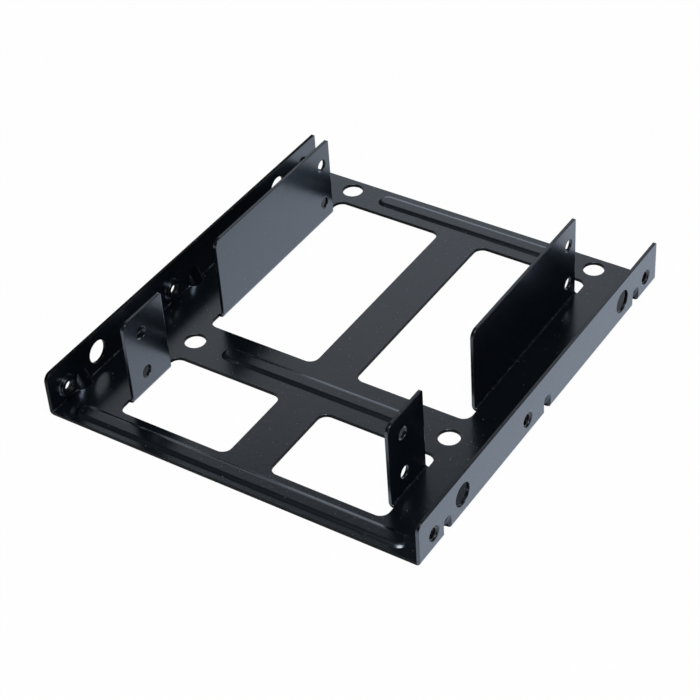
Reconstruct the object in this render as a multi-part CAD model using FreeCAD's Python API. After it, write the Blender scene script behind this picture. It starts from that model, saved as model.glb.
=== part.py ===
"""Drive bay adapter bracket: one steel sheet, punched, pressed and folded.

The sheet lies flat as the base. Its two long edges are folded up as the low side walls that
screw into a 3.5-inch bay, and four tabs cut out of the base are folded up between them, to
hold two 2.5-inch drives one above the other.

Frame: millimetres, +X towards the right wall, +Y towards the rear, +Z up. The origin lies on
the underside of the base, at the middle of the bracket's width and length.
"""
import FreeCAD
import Part
import math
import os
from FreeCAD import Vector

# The sheet
SHEET = 0.8                    # thickness of the steel
WIDTH = 101.6                  # outside of wall to outside of wall, the width of a 3.5-inch drive
LENGTH = 113.2                 # along the walls

# The side walls
WALL_HEIGHT = 11.65
WALL_FOLD_RADIUS = 0.25        # inside of the fold between base and wall
WALL_FRONT_CORNER = 2.0        # radius of the upper front corner
WALL_REAR_CORNER = 0.4

# The bay's screws: tapped collars in the walls
BAY_HOLE_HEIGHT = 4.65
BAY_HOLE_MIDDLE = -8.87        # place of the middle hole along the wall
BAY_HOLE_AHEAD = 41.6          # from the middle hole to the front one
BAY_HOLE_BEHIND = 60.0         # from the middle hole to the rear one
THREAD_ROOT_DIAMETER = 3.5     # bore at the bottom of a 6-32 thread's grooves
MOUTH_FLARE = 0.5              # how much wider the bore's mouth is, where it was drawn in
MOUTH_DEPTH = 0.6              # how far in from the wall's outer face the mouth narrows to the bore
COLLAR_DIAMETER = 5.2
COLLAR_RISE = 0.95             # how far a collar stands in from its wall

# The two drives between the tabs
DRIVE_WIDTH = 69.85
DRIVE_CLEARANCE = 0.33         # beside a drive, at each side
DRIVE_HOLE_PITCH = 76.6        # between the side holes of a 2.5-inch drive
LOWER_DRIVE_HOLE = 5.95        # height of the lower drive's screws
DRIVE_STEP = 11.55             # from the lower drive's screws to the upper one's
DRIVE_HOLE_DIAMETER = 3.3      # clearance for an M3 screw
ACCESS_DIAMETER = 6.0          # hole in the wall that lets a screwdriver reach a lower screw

# The tabs
TAB_HEIGHT = 23.4
TAB_FOLD_RADIUS = 0.55
TAB_FRONT_CORNER = 2.0         # radius of the upper front corner
TAB_REAR_CORNER = 0.5
FRONT_TAB_AHEAD = 5.95         # metal ahead of the holes of a front tab
FRONT_TAB_BEHIND = 8.65
REAR_TAB_AHEAD = 45.9
REAR_TAB_BEHIND = 3.6

# The windows that the tabs leave in the base
CENTRE_WEB = 11.5              # metal between the left and right windows
WINDOW_CORNER_RADIUS = 2.4
FOLD_RELIEF = 0.2              # how far a window reaches past the start of its tab's fold
FRONT_WINDOW_AHEAD = 4.35      # window ahead of a front tab
FRONT_WINDOW_BEHIND = 3.9
REAR_WINDOW_AHEAD = 4.65
REAR_WINDOW_BEHIND = 5.1

# The round holes in the base, one row midway between the windows and one at the rear
BASE_HOLE_DIAMETER = 5.4
BASE_HOLE_SPREAD = 71.8        # between the left and right holes of a row
REAR_ROW_INSET = 4.15          # from the rear edge to the middle of the rear row

# The ribs pressed up out of the base
RIB_HEIGHT = 0.5
RIB_CREST = 2.3                # width of a rib's flat crest
RIB_SLOPE = 34.0               # degrees, between the base and a rib's side
RIB_BEND_RADIUS = 0.7          # inside of the bend between a rib's crest and its side
FRONT_RIB_INSET = 3.85         # from the front edge to the middle of the front rib
FRONT_RIB_SPAN = 91.0
ROW_RIB_SPAN = 54.8            # the ribs that run between the round holes of a row

# The darts that stiffen the fold of each wall
DART_PITCH = 45.3
DART_MIDDLE = 0.4              # place of the middle dart along the wall
DART_HEIGHT = 4.9              # of a dart's hollow, up the outer face of the wall
DART_DEPTH = 2.1               # of its hollow, in along the underside of the base
DART_WIDTH = 3.2
DART_EDGE_RADIUS = 0.8         # where the hollow's floor meets its sides

QUARTER_ELLIPSE_WEIGHT = math.sqrt(0.5)    # of the corner point between the quarter's two ends
OVERCUT = 1.0                  # how far a cutting solid runs past the metal
FOLD_OVERLAP = 0.5             # how far a tab's solid runs into the base before it is fused

HALF_WIDTH = WIDTH / 2
HALF_LENGTH = LENGTH / 2
TAB_FOLD_OUTSIDE = TAB_FOLD_RADIUS + SHEET
TAB_FACE = DRIVE_WIDTH / 2 + DRIVE_CLEARANCE
WINDOW_OUTER = TAB_FACE + TAB_FOLD_OUTSIDE + FOLD_RELIEF
WINDOW_INNER = CENTRE_WEB / 2
DRIVE_HOLE_REAR = DRIVE_HOLE_PITCH / 2
DRIVE_HOLE_FRONT = -DRIVE_HOLE_REAR
DRIVE_HOLE_HEIGHTS = (LOWER_DRIVE_HOLE, LOWER_DRIVE_HOLE + DRIVE_STEP)
RIB_TURN = math.radians(RIB_SLOPE)
RIB_BEND_OUTSIDE = RIB_BEND_RADIUS + SHEET
RIB_DROP = RIB_HEIGHT - RIB_BEND_OUTSIDE * (1 - math.cos(RIB_TURN))
RIB_SIDE = RIB_BEND_OUTSIDE * math.sin(RIB_TURN) + RIB_DROP / math.tan(RIB_TURN)
RIB_HALF_WIDTH = RIB_CREST / 2 + RIB_SIDE
FRONT_TAB_ENDS = (DRIVE_HOLE_FRONT - FRONT_TAB_AHEAD, DRIVE_HOLE_FRONT + FRONT_TAB_BEHIND)
REAR_TAB_ENDS = (DRIVE_HOLE_REAR - REAR_TAB_AHEAD, DRIVE_HOLE_REAR + REAR_TAB_BEHIND)
FRONT_WINDOW_ENDS = (FRONT_TAB_ENDS[0] - FRONT_WINDOW_AHEAD, FRONT_TAB_ENDS[1] + FRONT_WINDOW_BEHIND)
REAR_WINDOW_ENDS = (REAR_TAB_ENDS[0] - REAR_WINDOW_AHEAD, REAR_TAB_ENDS[1] + REAR_WINDOW_BEHIND)
MIDDLE_ROW = (FRONT_WINDOW_ENDS[1] + REAR_WINDOW_ENDS[0]) / 2
REAR_ROW = HALF_LENGTH - REAR_ROW_INSET
BAY_HOLES = (BAY_HOLE_MIDDLE - BAY_HOLE_AHEAD, BAY_HOLE_MIDDLE, BAY_HOLE_MIDDLE + BAY_HOLE_BEHIND)
DART_PLACES = (DART_MIDDLE - DART_PITCH, DART_MIDDLE, DART_MIDDLE + DART_PITCH)

ALONG_X = Vector(1, 0, 0)
ALONG_Y = Vector(0, 1, 0)
ALONG_Z = Vector(0, 0, 1)


def face_of(edges):
    """Plane face bounded by edges that follow one another."""
    return Part.Face(Part.Wire(edges))


def mirrored(shape):
    """The same shape on the other side of the bracket."""
    return shape.mirror(Vector(0, 0, 0), ALONG_X)


def on_both_sides(shapes):
    """The shapes of the right side, and their mirror images on the left."""
    return shapes + [mirrored(shape) for shape in shapes]


def on_circle(centre, across, up, radius, degrees):
    """Point of a circle whose plane is spanned by the directions across and up."""
    angle = math.radians(degrees)
    return centre + across * (radius * math.cos(angle)) + up * (radius * math.sin(angle))


def arc_edge(centre, across, up, radius, start, end):
    """Arc about centre from start to end degrees, in the plane of across and up."""
    points = [on_circle(centre, across, up, radius, degrees) for degrees in (start, (start + end) / 2, end)]
    return Part.Arc(*points).toShape()


def folded_strip(start, outside, height, fold_radius, front, rear):
    """Length of sheet that lies flat from X = start and then turns up, with its outer face at X = outside."""
    turn = 1 if outside > start else -1
    fold_outside = fold_radius + SHEET
    inside = outside - turn * SHEET
    centre = Vector(outside - turn * fold_outside, front, fold_outside)
    across = ALONG_X * turn
    under = Part.makeLine(Vector(start, front, 0), Vector(centre.x, front, 0))
    outer_fold = arc_edge(centre, across, ALONG_Z, fold_outside, -90, 0)
    outer_face = Part.makeLine(Vector(outside, front, fold_outside), Vector(outside, front, height))
    top = Part.makeLine(Vector(outside, front, height), Vector(inside, front, height))
    inner_face = Part.makeLine(Vector(inside, front, height), Vector(inside, front, fold_outside))
    inner_fold = arc_edge(centre, across, ALONG_Z, fold_radius, 0, -90)
    over = Part.makeLine(Vector(centre.x, front, SHEET), Vector(start, front, SHEET))
    end = Part.makeLine(Vector(start, front, SHEET), Vector(start, front, 0))
    section = face_of([under, outer_fold, outer_face, top, inner_face, inner_fold, over, end])
    return section.extrude(ALONG_Y * (rear - front))


def rounded_upright(solid, front, rear, height, front_radius, rear_radius):
    """The solid with the two upper corners of its side view rounded."""
    box = solid.BoundBox
    side = box.XMin - OVERCUT
    low = box.ZMin - OVERCUT
    front_centre = Vector(side, front + front_radius, height - front_radius)
    rear_centre = Vector(side, rear - rear_radius, height - rear_radius)
    edges = [
        Part.makeLine(Vector(side, front, low), Vector(side, front, front_centre.z)),
        arc_edge(front_centre, ALONG_Y, ALONG_Z, front_radius, 180, 90),
        Part.makeLine(Vector(side, front_centre.y, height), Vector(side, rear_centre.y, height)),
        arc_edge(rear_centre, ALONG_Y, ALONG_Z, rear_radius, 90, 0),
        Part.makeLine(Vector(side, rear, rear_centre.z), Vector(side, rear, low)),
        Part.makeLine(Vector(side, rear, low), Vector(side, front, low)),
    ]
    return solid.common(face_of(edges).extrude(ALONG_X * (box.XLength + 2 * OVERCUT)))


def base_and_walls():
    """The channel: the flat base with a wall folded up along each side."""
    half = folded_strip(0, HALF_WIDTH, WALL_HEIGHT, WALL_FOLD_RADIUS, -HALF_LENGTH, HALF_LENGTH)
    corners = (WALL_FRONT_CORNER, WALL_REAR_CORNER)
    half = rounded_upright(half, -HALF_LENGTH, HALF_LENGTH, WALL_HEIGHT, *corners)
    return half.fuse(mirrored(half))


def tab(front, rear):
    """Upright tab of the right side, with its fold. Its inner face meets the side of a drive."""
    start = WINDOW_OUTER + FOLD_OVERLAP
    strip = folded_strip(start, TAB_FACE, TAB_HEIGHT, TAB_FOLD_RADIUS, front, rear)
    return rounded_upright(strip, front, rear, TAB_HEIGHT, TAB_FRONT_CORNER, TAB_REAR_CORNER)


def window(front, rear):
    """Cutting solid of one window of the right side, with rounded corners."""
    radius = WINDOW_CORNER_RADIUS
    low = -OVERCUT
    left = WINDOW_INNER
    right = WINDOW_OUTER
    edges = [
        Part.makeLine(Vector(left + radius, front, low), Vector(right - radius, front, low)),
        arc_edge(Vector(right - radius, front + radius, low), ALONG_X, ALONG_Y, radius, -90, 0),
        Part.makeLine(Vector(right, front + radius, low), Vector(right, rear - radius, low)),
        arc_edge(Vector(right - radius, rear - radius, low), ALONG_X, ALONG_Y, radius, 0, 90),
        Part.makeLine(Vector(right - radius, rear, low), Vector(left + radius, rear, low)),
        arc_edge(Vector(left + radius, rear - radius, low), ALONG_X, ALONG_Y, radius, 90, 180),
        Part.makeLine(Vector(left, rear - radius, low), Vector(left, front + radius, low)),
        arc_edge(Vector(left + radius, front + radius, low), ALONG_X, ALONG_Y, radius, 180, 270),
    ]
    return face_of(edges).extrude(ALONG_Z * (SHEET + 2 * OVERCUT))


def rib_bends(centre_x, place):
    """The middles of the two bends in a rib's side: under the crest, and above the foot."""
    under_crest = Vector(centre_x + RIB_CREST / 2, place, RIB_HEIGHT - RIB_BEND_RADIUS)
    above_foot = Vector(centre_x + RIB_HALF_WIDTH, place, SHEET)
    return under_crest, above_foot


def ridge_half_section(centre_x, place):
    """Half of what a rib adds above the base, from its middle line at X = centre_x out along +X."""
    under_crest, above_foot = rib_bends(centre_x, place)
    middle = Vector(centre_x, place, SHEET)
    crest = Vector(centre_x, place, RIB_HEIGHT + SHEET)
    slope_top = on_circle(under_crest, ALONG_X, ALONG_Z, RIB_BEND_OUTSIDE, 90 - RIB_SLOPE)
    return face_of([
        Part.makeLine(middle, crest),
        Part.makeLine(crest, under_crest + ALONG_Z * RIB_BEND_OUTSIDE),
        arc_edge(under_crest, ALONG_X, ALONG_Z, RIB_BEND_OUTSIDE, 90, 90 - RIB_SLOPE),
        Part.makeLine(slope_top, above_foot),
        Part.makeLine(above_foot, middle),
    ])


def hollow_half_section(centre_x, place):
    """Half of what a rib takes away under the base, from its middle line at X = centre_x out along +X."""
    under_crest, above_foot = rib_bends(centre_x, place)
    middle = Vector(centre_x, place, 0)
    roof = Vector(centre_x, place, RIB_HEIGHT)
    slope_top = on_circle(under_crest, ALONG_X, ALONG_Z, RIB_BEND_RADIUS, 90 - RIB_SLOPE)
    slope_foot = on_circle(above_foot, ALONG_X, ALONG_Z, SHEET, 270 - RIB_SLOPE)
    return face_of([
        Part.makeLine(middle, roof),
        Part.makeLine(roof, under_crest + ALONG_Z * RIB_BEND_RADIUS),
        arc_edge(under_crest, ALONG_X, ALONG_Z, RIB_BEND_RADIUS, 90, 90 - RIB_SLOPE),
        Part.makeLine(slope_top, slope_foot),
        arc_edge(above_foot, ALONG_X, ALONG_Z, SHEET, 270 - RIB_SLOPE, 270),
        Part.makeLine(above_foot - ALONG_Z * SHEET, middle),
    ])


def along_rib(half_section, span, place):
    """Half section carried round a rib: a turned solid at each end, and the straight length between."""
    end_x = span / 2 - RIB_HALF_WIDTH
    end_axis = Vector(end_x, place, 0)
    right_end = half_section(end_x, place).revolve(end_axis, ALONG_Z, 360)
    side = half_section(end_x, place)
    side.rotate(end_axis, ALONG_Z, 90)
    rear_half = side.extrude(ALONG_X * (-2 * end_x))
    front_half = rear_half.mirror(end_axis, ALONG_Y)
    return rear_half.fuse([front_half, right_end, mirrored(right_end)])


def ribs(half_section):
    """One face of the sheet at all three ribs."""
    return [
        along_rib(half_section, FRONT_RIB_SPAN, FRONT_RIB_INSET - HALF_LENGTH),
        along_rib(half_section, ROW_RIB_SPAN, MIDDLE_ROW),
        along_rib(half_section, ROW_RIB_SPAN, REAR_ROW),
    ]


def dart_form(place, skin):
    """Bar with a rounded nose, lying steeply across the fold of the right wall from wall to base.

    It fills a dart's hollow, and skin is how much thicker it is than that.
    """
    slant = math.hypot(DART_HEIGHT, DART_DEPTH)
    inward = Vector(-DART_HEIGHT, 0, DART_DEPTH) / slant
    lengthwise = Vector(DART_DEPTH, 0, DART_HEIGHT) / slant
    spare = SHEET + OVERCUT
    start = Vector(HALF_WIDTH, place, 0) - lengthwise * (DART_DEPTH + spare)
    half = DART_WIDTH / 2 + skin
    radius = DART_EDGE_RADIUS + skin
    nose = DART_HEIGHT * DART_DEPTH / slant + skin
    mouth = start - inward * OVERCUT
    side_end = start + inward * (nose - radius)
    across = ALONG_Y * half
    to_centre = ALONG_Y * (half - radius)
    section = face_of([
        Part.makeLine(mouth - across, mouth + across),
        Part.makeLine(mouth + across, side_end + across),
        arc_edge(side_end + to_centre, ALONG_Y, inward, radius, 0, 90),
        Part.makeLine(start + inward * nose + to_centre, start + inward * nose - to_centre),
        arc_edge(side_end - to_centre, ALONG_Y, inward, radius, 90, 180),
        Part.makeLine(side_end - across, mouth - across),
    ])
    return section.extrude(lengthwise * (DART_HEIGHT + DART_DEPTH + 2 * spare))


def inside_corner():
    """The space inside the right wall and above the base, with the inner half of the sheet."""
    middle = SHEET / 2
    reach = DART_DEPTH + SHEET + OVERCUT
    corner = Vector(HALF_WIDTH - middle - reach, -HALF_LENGTH, middle)
    return Part.makeBox(reach, LENGTH, WALL_HEIGHT - middle, corner)


def dart_ridges():
    """The inner face of the sheet at the right wall's darts."""
    room = inside_corner()
    return [dart_form(place, SHEET).common(room) for place in DART_PLACES]


def dart_hollows():
    """The outer face of the sheet at the right wall's darts."""
    return [dart_form(place, 0) for place in DART_PLACES]


def collar(place):
    """Metal of the collar that was drawn in from the right wall round one bay hole."""
    root = Vector(HALF_WIDTH - SHEET / 2, place, BAY_HOLE_HEIGHT)
    return Part.makeCylinder(COLLAR_DIAMETER / 2, SHEET / 2 + COLLAR_RISE, root, ALONG_X * -1)


def tapped_bore(place):
    """Cutting solid of one bay hole: the bore, and a flared mouth in the wall's outer face."""
    axis = Vector(HALF_WIDTH + OVERCUT, place, BAY_HOLE_HEIGHT)
    bore = axis.z + THREAD_ROOT_DIAMETER / 2
    mouth = bore + MOUTH_FLARE
    throat = HALF_WIDTH - MOUTH_DEPTH
    inner = HALF_WIDTH - SHEET - COLLAR_RISE - OVERCUT
    flare = Part.BezierCurve()
    flare.setPoles([Vector(HALF_WIDTH, place, mouth), Vector(HALF_WIDTH, place, bore), Vector(throat, place, bore)])
    flare.setWeight(2, QUARTER_ELLIPSE_WEIGHT)
    return face_of([
        Part.makeLine(axis, Vector(axis.x, place, mouth)),
        Part.makeLine(Vector(axis.x, place, mouth), Vector(HALF_WIDTH, place, mouth)),
        flare.toShape(),
        Part.makeLine(Vector(throat, place, bore), Vector(inner, place, bore)),
        Part.makeLine(Vector(inner, place, bore), Vector(inner, place, axis.z)),
        Part.makeLine(Vector(inner, place, axis.z), axis),
    ]).revolve(axis, ALONG_X, 360)


def cross_hole(outside, place, height, diameter):
    """Cutting solid of a plain hole along X through an upright whose outer face is at X = outside."""
    start = Vector(outside - SHEET - OVERCUT, place, height)
    return Part.makeCylinder(diameter / 2, SHEET + 2 * OVERCUT, start, ALONG_X)


def drive_holes():
    """The right tabs' holes for the screws of both drives."""
    outside = TAB_FACE + SHEET
    places = (DRIVE_HOLE_FRONT, DRIVE_HOLE_REAR)
    return [cross_hole(outside, place, height, DRIVE_HOLE_DIAMETER)
            for place in places for height in DRIVE_HOLE_HEIGHTS]


def access_holes():
    """The right wall's holes in line with the lower drive's screws."""
    places = (DRIVE_HOLE_FRONT, DRIVE_HOLE_REAR)
    return [cross_hole(HALF_WIDTH, place, LOWER_DRIVE_HOLE, ACCESS_DIAMETER) for place in places]


def base_holes():
    """The right round hole of each row in the base."""
    side = BASE_HOLE_SPREAD / 2
    depth = SHEET + 2 * OVERCUT
    return [Part.makeCylinder(BASE_HOLE_DIAMETER / 2, depth, Vector(side, row, -OVERCUT), ALONG_Z)
            for row in (MIDDLE_ROW, REAR_ROW)]


def bracket():
    """The whole bracket as one folded sheet."""
    windows = [window(*FRONT_WINDOW_ENDS), window(*REAR_WINDOW_ENDS)]
    sheet = base_and_walls().cut(on_both_sides(windows))
    raised = on_both_sides([tab(*FRONT_TAB_ENDS), tab(*REAR_TAB_ENDS)])
    raised += ribs(ridge_half_section)
    raised += on_both_sides(dart_ridges())
    raised += on_both_sides([collar(place) for place in BAY_HOLES])
    sheet = sheet.fuse(raised)
    removed = ribs(hollow_half_section)
    removed += on_both_sides(dart_hollows())
    removed += on_both_sides([tapped_bore(place) for place in BAY_HOLES])
    removed += on_both_sides(drive_holes() + access_holes() + base_holes())
    sheet = sheet.cut(removed).removeSplitter()
    return sheet.Solids[0] if len(sheet.Solids) == 1 else sheet


def main():
    """Write the bracket and print what it measures."""
    os.makedirs("parts", exist_ok=True)
    shape = bracket()
    shape.exportStep("parts/drive_bay_bracket.step")
    box = shape.optimalBoundingBox(False)
    print("solids", len(shape.Solids), "valid", shape.isValid(), "faces", len(shape.Faces))
    print("size", round(box.XLength, 3), round(box.YLength, 3), round(box.ZLength, 3))
    print("volume", round(shape.Volume, 1))


main()
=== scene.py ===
"""Looks of the drive bay adapter bracket: a powder-coated sheet with tapped bay holes.

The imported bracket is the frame, and keeps its shape. This script gives it its coat, adds
the screw threads in the six bay holes and the beads of coat round their collars, and sets
the bracket on a white floor under soft light, seen from the photograph's angle.
Everything is in metres, in the bracket's own frame.
"""
from __future__ import annotations

import logging
import math
from collections.abc import Iterator
from dataclasses import dataclass
from enum import Enum
from typing import Optional, Union

import bpy
import numpy as np
from mathutils import Matrix, Vector


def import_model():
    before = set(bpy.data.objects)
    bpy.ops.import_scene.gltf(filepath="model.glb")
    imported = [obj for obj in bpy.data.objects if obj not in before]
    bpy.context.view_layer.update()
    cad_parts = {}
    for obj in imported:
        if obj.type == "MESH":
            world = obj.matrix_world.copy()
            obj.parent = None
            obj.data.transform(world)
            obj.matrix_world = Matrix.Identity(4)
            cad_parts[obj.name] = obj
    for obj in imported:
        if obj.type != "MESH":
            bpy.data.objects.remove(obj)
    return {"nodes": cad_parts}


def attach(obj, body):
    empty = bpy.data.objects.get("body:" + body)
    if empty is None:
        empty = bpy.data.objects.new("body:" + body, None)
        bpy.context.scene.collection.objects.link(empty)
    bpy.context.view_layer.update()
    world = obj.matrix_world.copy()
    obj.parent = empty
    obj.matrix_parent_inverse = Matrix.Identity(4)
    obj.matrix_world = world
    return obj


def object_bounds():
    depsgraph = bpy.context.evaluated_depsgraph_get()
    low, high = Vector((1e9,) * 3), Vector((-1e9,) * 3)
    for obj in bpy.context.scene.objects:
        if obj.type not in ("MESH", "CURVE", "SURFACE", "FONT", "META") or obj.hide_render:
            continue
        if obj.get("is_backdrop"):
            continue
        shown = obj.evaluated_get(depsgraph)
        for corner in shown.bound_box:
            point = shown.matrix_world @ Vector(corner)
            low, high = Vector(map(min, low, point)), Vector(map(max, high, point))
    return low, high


Colour = tuple[float, float, float, float]
Socket = bpy.types.NodeSocket
Value = Union[float, Colour, Socket]

LOG = logging.getLogger("drive_bay_bracket")
MM = 0.001
FULL_TURN = 2.0 * math.pi
WHITE: Colour = (1.0, 1.0, 1.0, 1.0)


class Side(Enum):
    """Which side wall a piece belongs to, by the direction of the wall's outer face."""

    LEFT = -1
    RIGHT = 1


class NodeGraph:
    """Short way to write the nodes of a material or a world, and their links."""

    def __init__(self, owner: Union[bpy.types.Material, bpy.types.World]) -> None:
        """Starts with no nodes.

        Args:
            owner: The material or world that the nodes are for.
        """
        owner.use_nodes = True
        self.tree = owner.node_tree
        self.tree.nodes.clear()

    def node(
        self,
        kind: str,
        inputs: Optional[dict[Union[str, int], Value]] = None,
        **settings: object,
    ) -> bpy.types.Node:
        """Adds a node.

        Args:
            kind: Blender's node type.
            inputs: What each input socket gets, by the socket's name or number: a number,
                a colour, or another node's output socket, which is linked.
            **settings: Attributes of the node to set.

        Returns:
            The new node.
        """
        made = self.tree.nodes.new(kind)
        for key, setting in settings.items():
            setattr(made, key, setting)
        for key, value in (inputs or {}).items():
            if isinstance(value, Socket):
                self.tree.links.new(value, made.inputs[key])
            else:
                made.inputs[key].default_value = value
        return made

    def math(self, operation: str, first: Value, second: Value = 0.0) -> Socket:
        """Works out one operation on one or two numbers.

        Args:
            operation: The Math node's operation.
            first: A number or an output socket.
            second: The same.

        Returns:
            The result's socket.
        """
        made = self.node("ShaderNodeMath", {0: first, 1: second}, operation=operation)
        return made.outputs[0]

    def product(self, first: Value, *others: Value) -> Value:
        """Multiplies numbers.

        Args:
            first: A number or an output socket.
            *others: The same.

        Returns:
            The product's socket, or the number itself where there is only one.
        """
        result = first
        for other in others:
            result = self.math("MULTIPLY", result, other)
        return result

    def within(self, value: Value, limit: float) -> Socket:
        """Tells where a number is nearer to zero than a limit.

        Args:
            value: A number or an output socket.
            limit: The limit.

        Returns:
            A socket that is 1 within the limit and 0 elsewhere.
        """
        return self.math("LESS_THAN", self.math("ABSOLUTE", value), limit)

    def ramp(self, value: Value, low: float, high: float) -> Socket:
        """Adds a smooth step from 0 at low to 1 at high.

        Args:
            value: The socket that is stepped.
            low: Where the step starts.
            high: Where it ends.

        Returns:
            The step's socket.
        """
        inputs = {"Value": value, "From Min": low, "From Max": high}
        step = self.node("ShaderNodeMapRange", inputs, interpolation_type="SMOOTHSTEP")
        return step.outputs["Result"]

    def mix(self, kind: str, amount: Value, first: Value, second: Value) -> Socket:
        """Adds a mix of two colours or two numbers.

        Args:
            kind: The Mix node's data type, RGBA for colours or FLOAT for numbers.
            amount: 0 for the first of the two, 1 for the second.
            first: A colour or number, or an output socket.
            second: The same.

        Returns:
            The result's socket.
        """
        inputs = {"Factor": amount, "A": first, "B": second}
        return self.node("ShaderNodeMix", inputs, data_type=kind).outputs["Result"]

    def noise(self, place: Socket, size: float, detail: float) -> Socket:
        """Adds a noise.

        Args:
            place: The coordinates' socket.
            size: About how wide its blobs are, in metres.
            detail: How many finer layers lie over the blobs.

        Returns:
            The noise's value socket, which lies between 0 and 1.
        """
        inputs = {"Vector": place, "Scale": 1.0 / size, "Detail": detail}
        return self.node("ShaderNodeTexNoise", inputs).outputs["Fac"]

    def split(self, vector: Socket) -> bpy.types.bpy_prop_collection:
        """Splits a vector.

        Args:
            vector: The vector's socket.

        Returns:
            The sockets X, Y and Z.
        """
        return self.node("ShaderNodeSeparateXYZ", {"Vector": vector}).outputs


@dataclass(frozen=True)
class FoldHighlightLine:
    """Inside of a fold along which a painted highlight lies, broken into sparkles here and
    there.
    """

    place: float        # X of the fold's inside, in metres
    strength: float     # how much of the painted highlight's colour shows


@dataclass(frozen=True)
class PowderCoat:
    """Satin black powder coat with a fine orange peel, faint mottling and pale flecks.

    The cut edges of the base and of the left wall shine less than the rest, and a painted
    highlight, broken into sparkles, lies along the inside of two folds. Lengths are in
    metres.
    """

    colour: Colour = (0.0012, 0.0013, 0.0016, 1.0)
    pale_colour: Colour = (0.0022, 0.0024, 0.0030, 1.0)
    gloss_tint: Colour = (0.55, 0.75, 1.0, 1.0)
    roughness_low: float = 0.25
    roughness_high: float = 0.35
    gloss_roughness: float = 0.20
    ior: float = 1.57
    specular_level: float = 0.5     # the shader's usual level, where nothing dulls it

    mottle_size: float = 7.0 * MM
    mottle_detail: float = 3.0
    mottle_start: float = 0.35      # level of the noise from which the coat gets paler
    mottle_end: float = 0.7
    grain_size: float = 0.3 * MM
    grain_share: float = 0.6        # of the grain's height, next to the peel's
    peel_size: float = 1.1 * MM
    peel_strength: float = 1.0
    peel_height: float = 0.012 * MM
    fine_detail: float = 2.0        # of the noises of the peel, the grain and the highlight's sparkles

    # Colour of the pale dust flecks, and also of the painted highlight along two folds.
    fleck_and_highlight_colour: Colour = (0.15, 0.15, 0.155, 1.0)
    fleck_and_highlight_gloss_tint: Colour = WHITE
    fleck_spacing: float = 1.1 * MM
    fleck_radius: float = 0.18 * MM
    fleck_core: float = 0.4         # share of the radius that is pale to the full
    fleck_share: float = 0.55       # of the cells that hold a fleck

    bevel_radius: float = 0.25 * MM
    bevel_samples: int = 8
    base_top: float = 0.75 * MM     # an upright face below it is a cut edge of the base
    wall_inside: float = 50.0 * MM  # a face farther out in X belongs to a wall
    edge_facing: float = 0.5        # more than a cut edge's normal has across the sheet
    edge_shine: float = 0.08        # next to 1 for the rest of the coat

    # Where the painted highlight lies along the inside of two folds.
    fold_highlight_lines: tuple[FoldHighlightLine, ...] = (
        FoldHighlightLine(place=-50.0 * MM, strength=0.7),
        FoldHighlightLine(place=36.05 * MM, strength=0.25),
    )
    fold_highlight_height: float = 0.8 * MM     # of the base's top, where a line lies
    fold_highlight_lift: float = 0.02 * MM      # keeps the flat top itself clear of the painted highlight
    fold_highlight_reach: float = 0.36 * MM
    highlight_sparkle_size: float = 0.9 * MM
    highlight_sparkle_start: float = 0.40            # level of the noise from which the painted highlight shows
    highlight_sparkle_end: float = 0.75

    def material(self) -> bpy.types.Material:
        """Builds the coat.

        Returns:
            The node material. Its patterns lie in object coordinates.
        """
        coat = bpy.data.materials.new("powder_coat")
        graph = NodeGraph(coat)
        coordinates = graph.node("ShaderNodeTexCoord").outputs
        place = coordinates["Object"]
        mottle = graph.noise(place, self.mottle_size, self.mottle_detail)
        grain = graph.noise(place, self.grain_size, self.fine_detail)
        peel = graph.noise(place, self.peel_size, self.fine_detail)
        paler = graph.ramp(mottle, self.mottle_start, self.mottle_end)
        tint = graph.mix("RGBA", paler, self.colour, self.pale_colour)
        # Painted highlight along the inside of two folds, broken into sparkles.
        powder = self._painted_fold_highlight(graph, place)
        # Pale dust flecks and the painted fold highlight share one pale colour and tint.
        pale = graph.math("MAXIMUM", self._flecks(graph, place), powder)
        cut = self._cut_edges(graph, coordinates)
        shine = graph.mix("FLOAT", cut, 1.0, self.edge_shine)
        rounded = graph.node(
            "ShaderNodeBevel", {"Radius": self.bevel_radius}, samples=self.bevel_samples
        )
        bump = graph.node("ShaderNodeBump", {
            "Normal": rounded.outputs["Normal"],
            "Strength": self.peel_strength,
            "Distance": self.peel_height,
            "Height": graph.math("ADD", graph.product(grain, self.grain_share), peel),
        })
        shader = graph.node("ShaderNodeBsdfPrincipled", {
            "Base Color": graph.mix("RGBA", pale, tint, self.fleck_and_highlight_colour),
            "Roughness": graph.mix("FLOAT", grain, self.roughness_low, self.roughness_high),
            "IOR": self.ior,
            "Specular IOR Level": graph.product(shine, self.specular_level),
            "Coat Weight": shine,
            "Coat Roughness": self.gloss_roughness,
            "Coat IOR": self.ior,
            "Coat Tint": graph.mix("RGBA", pale, self.gloss_tint, self.fleck_and_highlight_gloss_tint),
            "Normal": bump.outputs["Normal"],
            "Coat Normal": bump.outputs["Normal"],
        })
        graph.node("ShaderNodeOutputMaterial", {"Surface": shader.outputs["BSDF"]})
        return coat

    def _cut_edges(
        self, graph: NodeGraph, coordinates: bpy.types.bpy_prop_collection
    ) -> Socket:
        """Marks the cut edges of the base and of the left wall.

        Args:
            graph: The material's nodes.
            coordinates: Outputs of a Texture Coordinate node.

        Returns:
            A socket that is 1 on a cut edge and 0 elsewhere.
        """
        place = graph.split(coordinates["Object"])
        facing = graph.split(coordinates["Normal"])
        upright = graph.within(facing["Z"], self.edge_facing)
        low = graph.math("LESS_THAN", place["Z"], self.base_top)
        between_walls = graph.within(place["X"], self.wall_inside)
        of_base = graph.product(upright, low, between_walls)
        in_left_wall = graph.math("LESS_THAN", place["X"], -self.wall_inside)
        across = graph.within(facing["X"], self.edge_facing)
        of_left_wall = graph.product(in_left_wall, across)
        return graph.math("MAXIMUM", of_base, of_left_wall)

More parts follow.
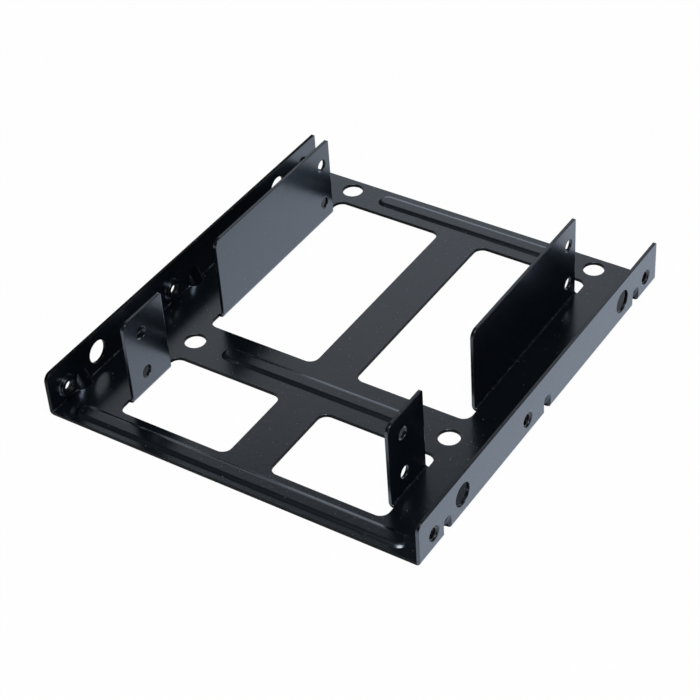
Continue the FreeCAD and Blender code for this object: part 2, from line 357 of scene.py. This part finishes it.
    def _painted_fold_highlight(self, graph: NodeGraph, place: Socket) -> Value:
        """Marks the painted highlight along the inside of the folds, broken into sparkles.

        Args:
            graph: The material's nodes.
            place: The coordinates' socket.

        Returns:
            A socket that is near 1 in a sparkle of the painted highlight and 0 away from
            the folds.
        """
        where = graph.split(place)
        rise = graph.math("SUBTRACT", where["Z"], self.fold_highlight_height)
        marks = 0.0
        for line in self.fold_highlight_lines:
            out = graph.math("SUBTRACT", where["X"], line.place)
            squares = graph.math("ADD", graph.product(out, out), graph.product(rise, rise))
            distance = graph.math("SQRT", squares)
            near = graph.math("LESS_THAN", distance, self.fold_highlight_reach)
            marks = graph.math("MAXIMUM", marks, graph.product(near, line.strength))
        lifted = graph.math("GREATER_THAN", rise, self.fold_highlight_lift)
        noise = graph.noise(place, self.highlight_sparkle_size, self.fine_detail)
        highlight_sparkles = graph.ramp(noise, self.highlight_sparkle_start, self.highlight_sparkle_end)
        return graph.product(marks, lifted, highlight_sparkles)

    def _flecks(self, graph: NodeGraph, place: Socket) -> Value:
        """Adds round flecks in some of the cells of a Voronoi pattern.

        Args:
            graph: The material's nodes.
            place: The coordinates' socket.

        Returns:
            A socket with each fleck's strength in the fleck, and 0 elsewhere.
        """
        inputs = {"Vector": place, "Scale": 1.0 / self.fleck_spacing}
        cells = graph.node("ShaderNodeTexVoronoi", inputs, feature="F1").outputs
        edge = self.fleck_radius / self.fleck_spacing
        near = graph.ramp(cells["Distance"], edge, edge * self.fleck_core)
        draw = graph.node("ShaderNodeSeparateColor", {"Color": cells["Color"]}).outputs
        picked = graph.math("LESS_THAN", draw["Red"], self.fleck_share)
        return graph.product(near, picked, draw["Green"])


@dataclass(frozen=True)
class CutSteel:
    """Bare steel of a freshly tapped thread, slightly streaked."""

    colour: Colour = (0.17, 0.172, 0.18, 1.0)
    dull_colour: Colour = (0.018, 0.018, 0.019, 1.0)
    roughness_low: float = 0.22
    roughness_high: float = 0.42
    streak_size: float = 0.35 * MM
    streak_detail: float = 2.0

    def material(self) -> bpy.types.Material:
        """Builds the bare metal.

        Returns:
            The node material. Its streaks lie in object coordinates.
        """
        steel = bpy.data.materials.new("cut_steel")
        graph = NodeGraph(steel)
        place = graph.node("ShaderNodeTexCoord").outputs["Object"]
        streaks = graph.noise(place, self.streak_size, self.streak_detail)
        roughness = graph.mix("FLOAT", streaks, self.roughness_low, self.roughness_high)
        shader = graph.node("ShaderNodeBsdfPrincipled", {
            "Base Color": graph.mix("RGBA", streaks, self.colour, self.dull_colour),
            "Metallic": 1.0,
            "Roughness": roughness,
        })
        graph.node("ShaderNodeOutputMaterial", {"Surface": shader.outputs["BSDF"]})
        return steel


@dataclass(frozen=True)
class WhiteFloor:
    """Matt white floor, shown as plain white, and clear from below.

    The camera sees it nearly as plain white, with a little of the bracket's shadow. In
    the bracket's glossy faces it is mirrored with a level and a tint of its own.
    """

    colour: Colour = (0.92, 0.92, 0.92, 1.0)
    mirrored_colour: Colour = (0.81, 0.86, 1.0, 1.0)
    shown: float = 0.96         # share of plain white that the camera sees
    mirrored: float = 0.29      # share of plain white that a glossy face mirrors

    def material(self) -> bpy.types.Material:
        """Builds the floor.

        Returns:
            The node material: matt white, partly replaced by an even glow for camera,
            transmission and glossy rays.
        """
        floor = bpy.data.materials.new("white_floor")
        graph = NodeGraph(floor)
        rays = graph.node("ShaderNodeLightPath").outputs
        direct = graph.math("MAXIMUM", rays["Is Camera Ray"], rays["Is Transmission Ray"])
        seen = graph.product(direct, self.shown)
        glossy = graph.product(rays["Is Glossy Ray"], self.mirrored)
        matt = graph.node("ShaderNodeBsdfDiffuse", {"Color": self.colour})
        tint = graph.mix("RGBA", rays["Is Glossy Ray"], WHITE, self.mirrored_colour)
        glow = graph.node("ShaderNodeEmission", {"Color": tint})
        from_above = graph.node("ShaderNodeMixShader", {
            0: graph.math("MAXIMUM", seen, glossy),
            1: matt.outputs["BSDF"],
            2: glow.outputs["Emission"],
        })
        clear = graph.node("ShaderNodeBsdfTransparent")
        both_sides = graph.node("ShaderNodeMixShader", {
            0: graph.node("ShaderNodeNewGeometry").outputs["Backfacing"],
            1: from_above.outputs["Shader"],
            2: clear.outputs["BSDF"],
        })
        graph.node("ShaderNodeOutputMaterial", {"Surface": both_sides.outputs["Shader"]})
        return floor


@dataclass(frozen=True)
class ThreadSize:
    """Sizes of a 6-32 thread in a drawn collar, narrowed by about 0.1 mm of coat."""

    pitch: float = 0.794 * MM
    root_radius: float = 1.60 * MM
    crest_radius: float = 1.20 * MM
    back_radius: float = 1.80 * MM  # of the sleeve's outer face, within the collar's metal
    crest_share: float = 0.16       # of the profile's wave that is flat at the crest
    root_share: float = 0.10
    steps_round: int = 72
    steps_along: int = 44


@dataclass(frozen=True)
class BayHoles:
    """Where the six collars with the bay's screw holes stand, and how big they are."""

    half_width: float
    sheet: float = 0.8 * MM
    collar_radius: float = 2.6 * MM
    collar_rise: float = 0.95 * MM
    thread_start: float = 0.34 * MM     # how far in from the wall's outer face
    height: float = 4.65 * MM
    middle: float = -8.87 * MM
    ahead: float = 41.6 * MM
    behind: float = 60.0 * MM

    def each(self) -> Iterator[tuple[str, Side, float]]:
        """Goes through the six holes.

        Yields:
            A hole's name, its wall, and its place along the wall.
        """
        places = {
            "front": self.middle - self.ahead,
            "middle": self.middle,
            "rear": self.middle + self.behind,
        }
        for side in Side:
            for word, place in places.items():
                yield f"{side.name.lower()}_{word}", side, place

    def ring_points(
        self,
        side: Side,
        place: float,
        angle: np.ndarray,
        radius: np.ndarray,
        depth: np.ndarray,
    ) -> np.ndarray:
        """Places points round a hole's axis.

        Args:
            side: The hole's wall.
            place: The hole's place along the wall.
            angle: Turn about the axis of each point.
            radius: Distance of each point from the axis.
            depth: How far in from the wall's outer face each point is.

        Returns:
            The points, in metres, with a last axis of three.
        """
        sign = side.value
        return np.stack(
            [
                sign * (self.half_width - depth),
                place + sign * radius * np.cos(angle),
                self.height + radius * np.sin(angle),
            ],
            axis=-1,
        )


@dataclass(frozen=True)
class BayThreads:
    """The threads that are tapped into the six collars of the side walls."""

    holes: BayHoles
    end_gap: float = 0.02 * MM
    size: ThreadSize = ThreadSize()

    def build(self, metal: bpy.types.Material) -> None:
        """Makes one thread in each bay hole.

        Args:
            metal: The bare metal.
        """
        for word, side, place in self.holes.each():
            dress_piece(self._thread(f"thread_{word}", side, place), metal)

    def _thread(self, name: str, side: Side, place: float) -> bpy.types.Object:
        """Makes the sleeve of thread in one bay hole.

        The sleeve's inner face is a grid over the turn angle and the depth into the wall.
        Its radius follows the thread's profile, which moves on by one pitch in one turn,
        and its outer face is a plain cylinder within the collar's metal. Both ends are
        flat rings.

        Args:
            name: The piece's name.
            side: The wall that it is in.
            place: The hole's place along the wall.

        Returns:
            The new object.
        """
        size = self.size
        holes = self.holes
        turns = np.linspace(0.0, FULL_TURN, size.steps_round, endpoint=False)
        start = holes.thread_start + self.end_gap
        end = holes.sheet + holes.collar_rise - self.end_gap
        depths = np.linspace(start, end, size.steps_along)
        angle, depth = np.meshgrid(turns, depths)
        inner = self._profile(depth / size.pitch - angle / FULL_TURN)
        back = np.full_like(angle[:1], size.back_radius)
        points = holes.ring_points(
            side,
            place,
            angle=np.vstack([angle, angle[-1:], angle[:1]]),
            radius=np.vstack([inner, back, back]),
            depth=np.vstack([depth, depth[-1:], depth[:1]]),
        )
        return grid_tube(name, points)

    def _profile(self, phase: np.ndarray) -> np.ndarray:
        """Radius of the thread's inner face: a V groove with a flat crest and a flat root.

        The wave rises from root to crest and falls back over one pitch. It is a triangle
        wave, stretched and clipped so that its ends are flat.

        Args:
            phase: How many pitches along the thread each point is.

        Returns:
            The radius at each point.
        """
        size = self.size
        wave = 1.0 - np.abs(2.0 * (phase - np.floor(phase)) - 1.0)
        flank = 1.0 - size.crest_share - size.root_share
        rise = np.clip((wave - size.root_share) / flank, 0.0, 1.0)
        return size.root_radius + rise * (size.crest_radius - size.root_radius)


@dataclass(frozen=True)
class CollarBeads:
    """The powder that gathers in the corner between each collar and its wall."""

    holes: BayHoles
    fillet: float = 0.25 * MM
    buried: float = 0.15 * MM
    steps_round: int = 72
    steps_across: int = 8

    def build(self, coat: bpy.types.Material) -> None:
        """Makes one bead round the foot of each collar.

        A bead's visible face is a hollow quarter circle from the wall to the collar. The
        rest of its section lies within the metal.

        Args:
            coat: The bracket's coat.
        """
        holes = self.holes
        sweep = np.linspace(0.0, FULL_TURN / 4, self.steps_across)
        wall_side = holes.collar_radius + self.fillet
        buried_side = holes.collar_radius - self.buried
        face_radius = wall_side - self.fillet * np.sin(sweep)
        face_rise = self.fillet * (1.0 - np.cos(sweep))
        section_radius = np.append(face_radius, [buried_side, buried_side, wall_side])
        section_rise = np.append(face_rise, [self.fillet, -self.buried, -self.buried])
        turns = np.linspace(0.0, FULL_TURN, self.steps_round, endpoint=False)
        angle, radius = np.meshgrid(turns, section_radius)
        depth = holes.sheet + np.broadcast_to(section_rise[:, None], angle.shape)
        for word, side, place in holes.each():
            points = holes.ring_points(side, place, angle, radius, depth)
            bead = grid_tube(f"collar_bead_{word}", points)
            bead.data.shade_smooth()
            dress_piece(bead, coat)


def add_object(name: str, data: bpy.types.ID) -> bpy.types.Object:
    """Adds an object to the scene, at the origin.

    Args:
        name: The object's name.
        data: Its mesh, camera or light.

    Returns:
        The new object.
    """
    made = bpy.data.objects.new(name, data)
    bpy.context.scene.collection.objects.link(made)
    return made


def grid_tube(name: str, points: np.ndarray) -> bpy.types.Object:
    """Makes a closed ring-shaped mesh from a grid that wraps round both ways.

    Point (i, j) joins (i, j + 1) and (i + 1, j), and the last row and column join the
    first. The faces are turned outwards.

    Args:
        name: The object's name.
        points: Grid of points, rows by columns by 3, in metres.

    Returns:
        The new object.
    """
    rows, columns, _ = points.shape
    index = np.arange(rows * columns).reshape(rows, columns)
    down = np.roll(index, -1, axis=0)
    across = np.roll(index, -1, axis=1)
    diagonal = np.roll(down, -1, axis=1)
    faces = np.stack([index, across, diagonal, down], axis=-1).reshape(-1, 4)
    places = points.reshape(-1, 3)
    first, second, third, fourth = np.moveaxis(places[faces], 1, 0)
    crosses = np.cross(second, third) + np.cross(third, fourth)
    six_volumes = np.einsum("ij,ij->", first, crosses)
    if six_volumes < 0.0:
        faces = faces[:, ::-1]
    mesh = bpy.data.meshes.new(name)
    mesh.from_pydata(places.tolist(), [], faces.tolist())
    mesh.update()
    return add_object(name, mesh)


def direction(azimuth: float, elevation: float) -> Vector:
    """Points from the bracket to where a camera or a lamp stands.

    Args:
        azimuth: Degrees from straight ahead of the bracket, towards its right.
        elevation: Degrees above the floor.

    Returns:
        A vector of length one.
    """
    turn = math.radians(azimuth)
    rise = math.radians(elevation)
    return Vector((
        math.sin(turn) * math.cos(rise),
        -math.cos(turn) * math.cos(rise),
        math.sin(rise),
    ))


@dataclass(frozen=True)
class PhotoCamera:
    """The photograph's view, from a camera fitted to the bracket's standard sizes.

    Angles are in degrees, and lengths in metres, apart from the sensor's millimetres.
    """

    azimuth: float = 34.01
    elevation: float = 39.87
    roll: float = -3.40
    target: tuple[float, float, float] = (6.62 * MM, 1.10 * MM, 0.0)
    distance: float = 488.19 * MM
    focal_pixels: float = 2024.2
    centre_pixels: tuple[float, float] = (386.98, 350.80)   # where the optical axis meets
    frame_pixels: float = 700.0                             # the picture's width and height
    sensor: float = 36.0
    nearest: float = 0.01
    farthest: float = 20.0

    def build(self) -> None:
        """Makes the camera and gives it to the scene."""
        azimuth = math.radians(self.azimuth)
        roll = math.radians(self.roll)
        back = direction(self.azimuth, self.elevation)
        level = Vector((math.cos(azimuth), math.sin(azimuth), 0.0))
        upright = back.cross(level)
        right = level * math.cos(roll) + upright * math.sin(roll)
        up = upright * math.cos(roll) - level * math.sin(roll)
        turn = Matrix((right, up, back)).transposed().to_4x4()
        place = Vector(self.target) + back * self.distance
        centre_x, centre_y = self.centre_pixels
        data = bpy.data.cameras.new("camera")
        data.sensor_width = self.sensor
        data.lens = self.focal_pixels / self.frame_pixels * self.sensor
        data.shift_x = (self.frame_pixels / 2 - centre_x) / self.frame_pixels
        data.shift_y = (centre_y - self.frame_pixels / 2) / self.frame_pixels
        data.clip_start = self.nearest
        data.clip_end = self.farthest
        camera = add_object("camera", data)
        camera.matrix_world = Matrix.Translation(place) @ turn
        bpy.context.scene.camera = camera
        LOG.info("camera")


@dataclass(frozen=True)
class SoftBox:
    """One square area lamp, aimed at the bracket, in degrees, metres and watts."""

    name: str
    azimuth: float
    elevation: float
    distance: float
    width: float
    power: float

    def build(self) -> None:
        """Makes the lamp."""
        back = direction(self.azimuth, self.elevation)
        data = bpy.data.lights.new(self.name, "AREA")
        data.shape = "SQUARE"
        data.size = self.width
        data.energy = self.power
        lamp = add_object(self.name, data)
        lamp.location = back * self.distance
        lamp.rotation_mode = "QUATERNION"
        lamp.rotation_quaternion = (-back).to_track_quat("-Z", "Y")
        LOG.info("lamp %s", lamp.name)


@dataclass(frozen=True)
class Studio:
    """White floor, three soft lamps and a dim, even room."""

    floor_half: float = 1.6
    floor_drop: float = 0.05 * MM
    room_strength: float = 0.040
    lamps: tuple[SoftBox, ...] = (
        SoftBox(
            "lamp_panel",
            azimuth=-146.0, elevation=30.0, distance=1.0, width=0.54, power=0.52,
        ),
        SoftBox(
            "lamp_low",
            azimuth=-153.0, elevation=10.0, distance=1.0, width=0.34, power=0.27,
        ),
        SoftBox(
            "lamp_key",
            azimuth=38.0, elevation=70.0, distance=1.1, width=0.60, power=11.0,
        ),
    )

    def build(self) -> None:
        """Makes the floor, the room's light and the lamps."""
        self._floor()
        self._room()
        for lamp in self.lamps:
            lamp.build()

    def _floor(self) -> None:
        """Makes the white floor just under the bracket and marks it as stage."""
        reach = self.floor_half
        sides = ((-1, -1), (1, -1), (1, 1), (-1, 1))
        corners = [(x * reach, y * reach, -self.floor_drop) for x, y in sides]
        mesh = bpy.data.meshes.new("floor")
        mesh.from_pydata(corners, [], [(0, 1, 2, 3)])
        mesh.materials.append(WhiteFloor().material())
        floor = add_object("floor", mesh)
        floor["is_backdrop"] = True
        LOG.info("floor")

    def _room(self) -> None:
        """Lights the scene evenly, and shows the room as white past the floor."""
        room = bpy.data.worlds.new("room")
        graph = NodeGraph(room)
        rays = graph.node("ShaderNodeLightPath").outputs
        dim_inputs = {"Color": WHITE, "Strength": self.room_strength}
        dim = graph.node("ShaderNodeBackground", dim_inputs)
        white = graph.node("ShaderNodeBackground", {"Color": WHITE})
        mix = graph.node("ShaderNodeMixShader", {
            0: rays["Is Camera Ray"],
            1: dim.outputs["Background"],
            2: white.outputs["Background"],
        })
        graph.node("ShaderNodeOutputWorld", {"Surface": mix.outputs["Shader"]})
        bpy.context.scene.world = room


def dress_piece(piece: bpy.types.Object, finish: bpy.types.Material) -> None:
    """Gives an added piece its finish, and fixes it to the bracket.

    Args:
        piece: The piece.
        finish: Its material.
    """
    piece.data.materials.append(finish)
    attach(piece, "root")
    LOG.info("piece %s", piece.name)


def dress_bracket(node: bpy.types.Object, coat: bpy.types.Material) -> None:
    """Gives the folded sheet its powder coat.

    Args:
        node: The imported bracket.
        coat: The coat.
    """
    node.data.materials.clear()
    node.data.materials.append(coat)
    LOG.info("coat on %s", node.name)


def main() -> None:
    """Builds the bracket's looks, the studio and the camera in order."""
    logging.basicConfig(level=logging.INFO, format="%(name)s: %(message)s")
    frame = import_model()
    cad_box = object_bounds()
    coat = PowderCoat().material()
    dress_bracket(frame["nodes"]["drive_bay_bracket"], coat)
    holes = BayHoles(half_width=cad_box[1].x)
    BayThreads(holes).build(CutSteel().material())
    CollarBeads(holes).build(coat)
    Studio().build()
    PhotoCamera().build()
    scene = bpy.context.scene
    scene.view_settings.view_transform = "Standard"


if __name__ == "__main__":
    main()
